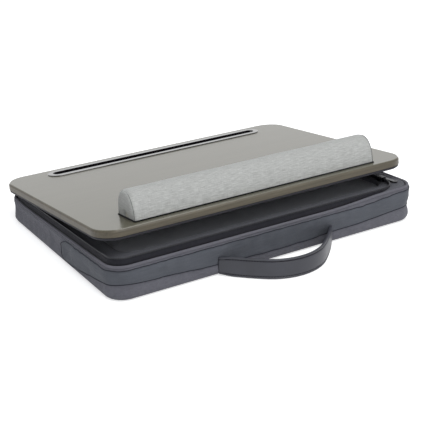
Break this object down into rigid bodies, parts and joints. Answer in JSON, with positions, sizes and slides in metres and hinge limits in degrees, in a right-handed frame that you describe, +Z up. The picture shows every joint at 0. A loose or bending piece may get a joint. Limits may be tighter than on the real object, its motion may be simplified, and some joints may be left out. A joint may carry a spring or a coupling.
{
  "type": "lap tray with cushion",
  "caption": "Hard writing tray with phone slot and padded wrist rest, hinged as the lid of a zipped storage cushion with a carrying handle.",
  "frame": {"origin": "centre of the cushion's flat underside", "axes": "+X to the user's right along the width, -Y towards the user (handle and wrist rest side), +Z up"},
  "size_m": [0.454, 0.4013, 0.1146],
  "materials": {
    "cushion_fabric": "woven, dark grey",
    "facing_fabric": "smooth, dark slate grey",
    "piping_light": "smooth cord cover, mid grey",
    "piping_dark": "smooth cord cover, navy grey",
    "lining": "smooth lining, grey",
    "stiffener": "plain board",
    "filling": "loose bead filling",
    "zip_tape": "woven tape, near black",
    "zip_teeth": "moulded coil, near black",
    "slider_metal": "dark polished plating",
    "board_core": "long grain on the edge, brown grey",
    "board_top": "glossy laminate, taupe brown",
    "slot_black": "moulded, black",
    "backing": "thin woven backing, near black",
    "foam": "soft foam, cream",
    "linen": "coarse linen weave, light grey",
    "webbing": "woven webbing",
    "handle_skin": "smooth, dark grey"
  },
  "bodies": {
    "base": {"bottom_panel": "cushion_fabric", "side_wall": "cushion_fabric", "front_panel": "facing_fabric", "rim_piping": "piping_light", "top_border": "facing_fabric", "lining_floor": "lining", "floor_stiffener": "stiffener", "cushion_filling": "filling", "lower_zip_tape": "zip_tape", "lower_zip_teeth": "zip_teeth", "hinge_strip": "cushion_fabric"},
    "lid": {"tray_board": "board_core", "top_laminate": "board_top", "phone_slot": "slot_black", "underside_cover": "backing", "lid_piping": "piping_dark", "lid_pad": "foam", "lid_lining": "backing", "upper_zip_tape": "zip_tape", "upper_zip_teeth": "zip_teeth", "wrist_rest_strip": "board_core", "wrist_rest_foam": "foam", "wrist_rest_cover": "linen", "wrist_rest_left_end": "linen", "wrist_rest_right_end": "linen"},
    "slider": {"slider_body": "slider_metal"},
    "puller": {"pull_tab": "slider_metal"},
    "handle": {"handle_cover": "handle_skin", "handle_core": "webbing"}
  },
  "joints": [
    {"name": "lid_hinge", "type": "hinge", "parent": "base", "child": "lid", "pos_m": [0, 0.1626, 0.0365], "axis": [-1, 0, 0], "range_deg": [-2.2, 85]},
    {"name": "zip_slide", "type": "slide", "parent": "base", "child": "slider", "axis": [0, 0.9993, -0.0384], "range_m": [0, 0.18]},
    {"name": "puller_hinge", "type": "hinge", "parent": "slider", "child": "puller", "pos_m": [0.2072, -0.121, 0.0469], "axis": [0, 0.0384, 0.9993], "range_deg": [-3, 157]},
    {"name": "handle_fold", "type": "hinge", "parent": "base", "child": "handle", "pos_m": [0, -0.17485, 0.013], "axis": [-1, 0, 0], "range_deg": [-20, 80]}
  ]
}
